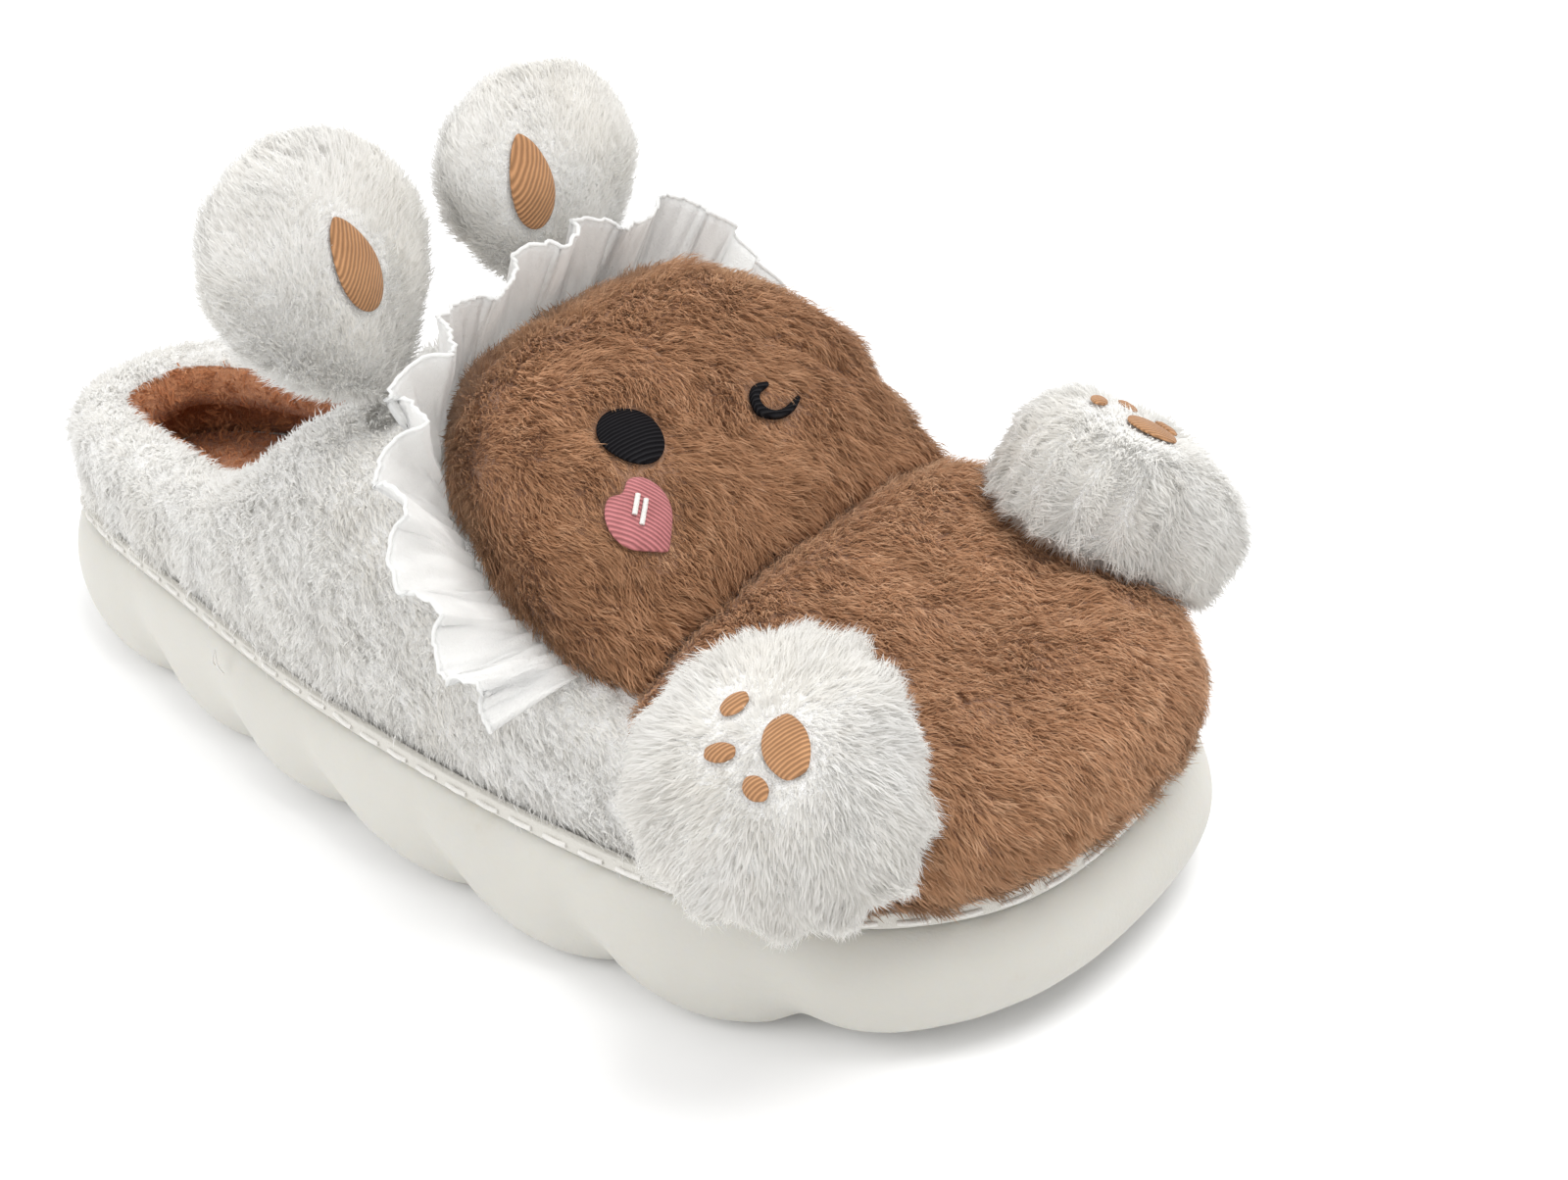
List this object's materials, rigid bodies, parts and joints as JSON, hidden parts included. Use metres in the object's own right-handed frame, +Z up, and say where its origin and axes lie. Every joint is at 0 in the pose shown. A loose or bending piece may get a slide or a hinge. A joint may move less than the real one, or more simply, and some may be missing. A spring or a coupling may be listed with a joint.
{
  "type": "animal slipper",
  "caption": "Closed-heel plush slipper on a thick wavy foam sole, with a stuffed animal's head, ears, paws and a ruffled collar on its upper.",
  "frame": {"origin": "on the floor under the heel, in the middle of the sole's flat heel land", "axes": "+X towards the toe, +Y towards the inner side of the foot, +Z up"},
  "size_m": [0.262, 0.1339, 0.1251],
  "materials": {
    "cream_foam": "satin moulded foam",
    "brown_fleece": "short curly fleece",
    "white_plush": "deep plush",
    "cream_binding": "smooth woven",
    "brown_plush": "deep plush",
    "white_cloth": "smooth cloth",
    "tan_thread": "satin stitch",
    "black_thread": "satin stitch",
    "pink_thread": "satin stitch"
  },
  "bodies": {
    "root": {"sole": "cream_foam", "insole": "brown_fleece", "upper": "white_plush", "binding": "cream_binding", "belly": "brown_plush", "head": "brown_plush", "frill": "white_cloth", "ear_right": "white_plush", "ear_left": "white_plush", "ear_patch_right": "tan_thread", "ear_patch_left": "tan_thread", "paw_right": "white_plush", "paw_left": "white_plush", "paw_right_heel": "tan_thread", "paw_right_toe_1": "tan_thread", "paw_right_toe_2": "tan_thread", "paw_right_toe_3": "tan_thread", "paw_left_heel": "tan_thread", "paw_left_toe_1": "tan_thread", "paw_left_toe_2": "tan_thread", "paw_left_toe_3": "tan_thread", "eye_open": "black_thread", "eye_wink": "black_thread", "cheek_heart": "pink_thread"}
  },
  "joints": []
}
